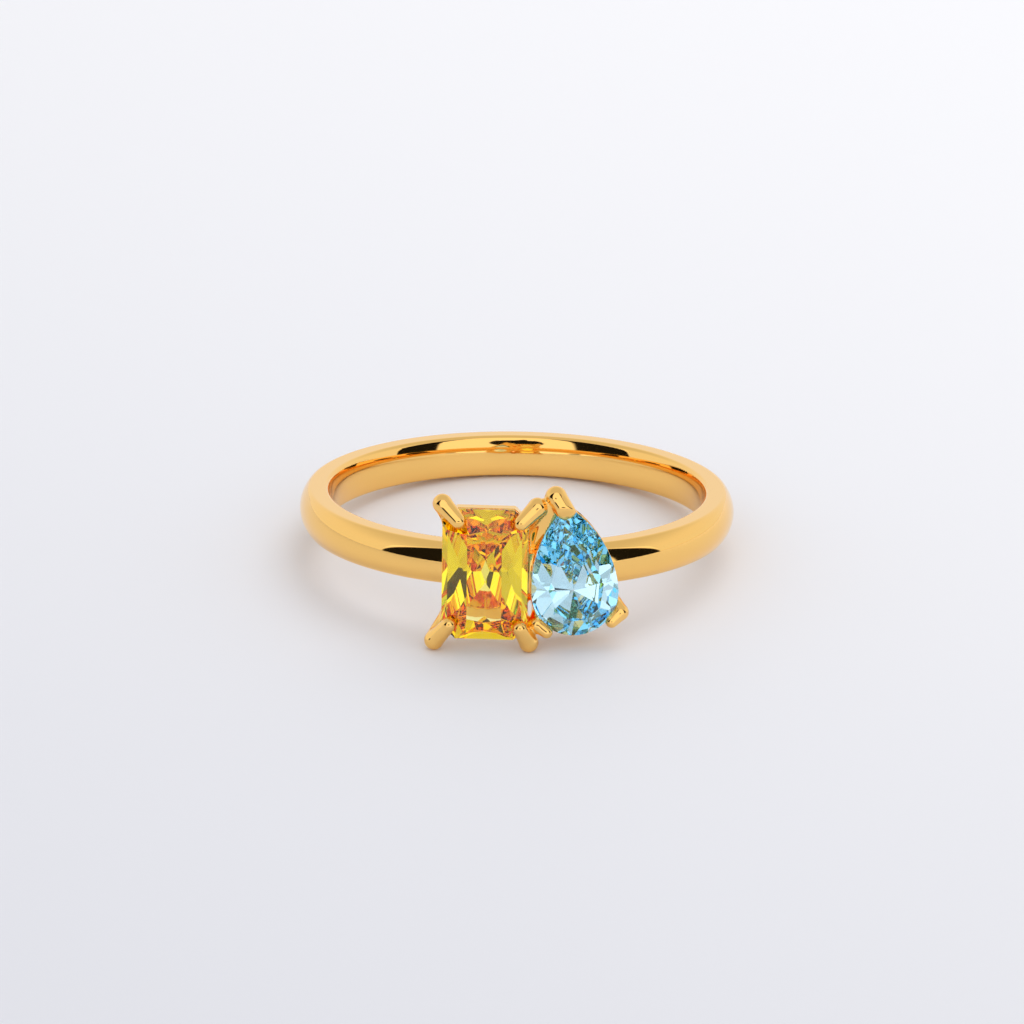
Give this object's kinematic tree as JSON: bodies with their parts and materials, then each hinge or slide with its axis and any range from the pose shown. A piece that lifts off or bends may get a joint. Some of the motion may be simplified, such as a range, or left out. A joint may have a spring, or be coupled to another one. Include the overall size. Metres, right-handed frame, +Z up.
{
  "type": "toi et moi ring with a radiant-cut and a pear-cut stone, in its resting pose",
  "caption": "Slim yellow-metal finger ring whose domed shank carries a radiant-cut and a pear-cut stone side by side, each in its own claw basket, lying on its side",
  "frame": {"origin": "middle of the footprint, on the surface that the ring lies on", "axes": "+Z up from the surface; +Y away from the head, towards the back of the shank; +X to the wearer's pear-stone side, to the right when the head faces the viewer"},
  "size_m": [0.0198, 0.0212, 0.0075],
  "materials": {
    "gold": "polished gold plate over cast silver",
    "yellow_stone": "faceted and polished, golden yellow",
    "blue_stone": "faceted and polished, aqua blue"
  },
  "bodies": {
    "root": {"ring_mount": "gold", "radiant_stone": "yellow_stone", "pear_stone": "blue_stone"}
  },
  "joints": []
}
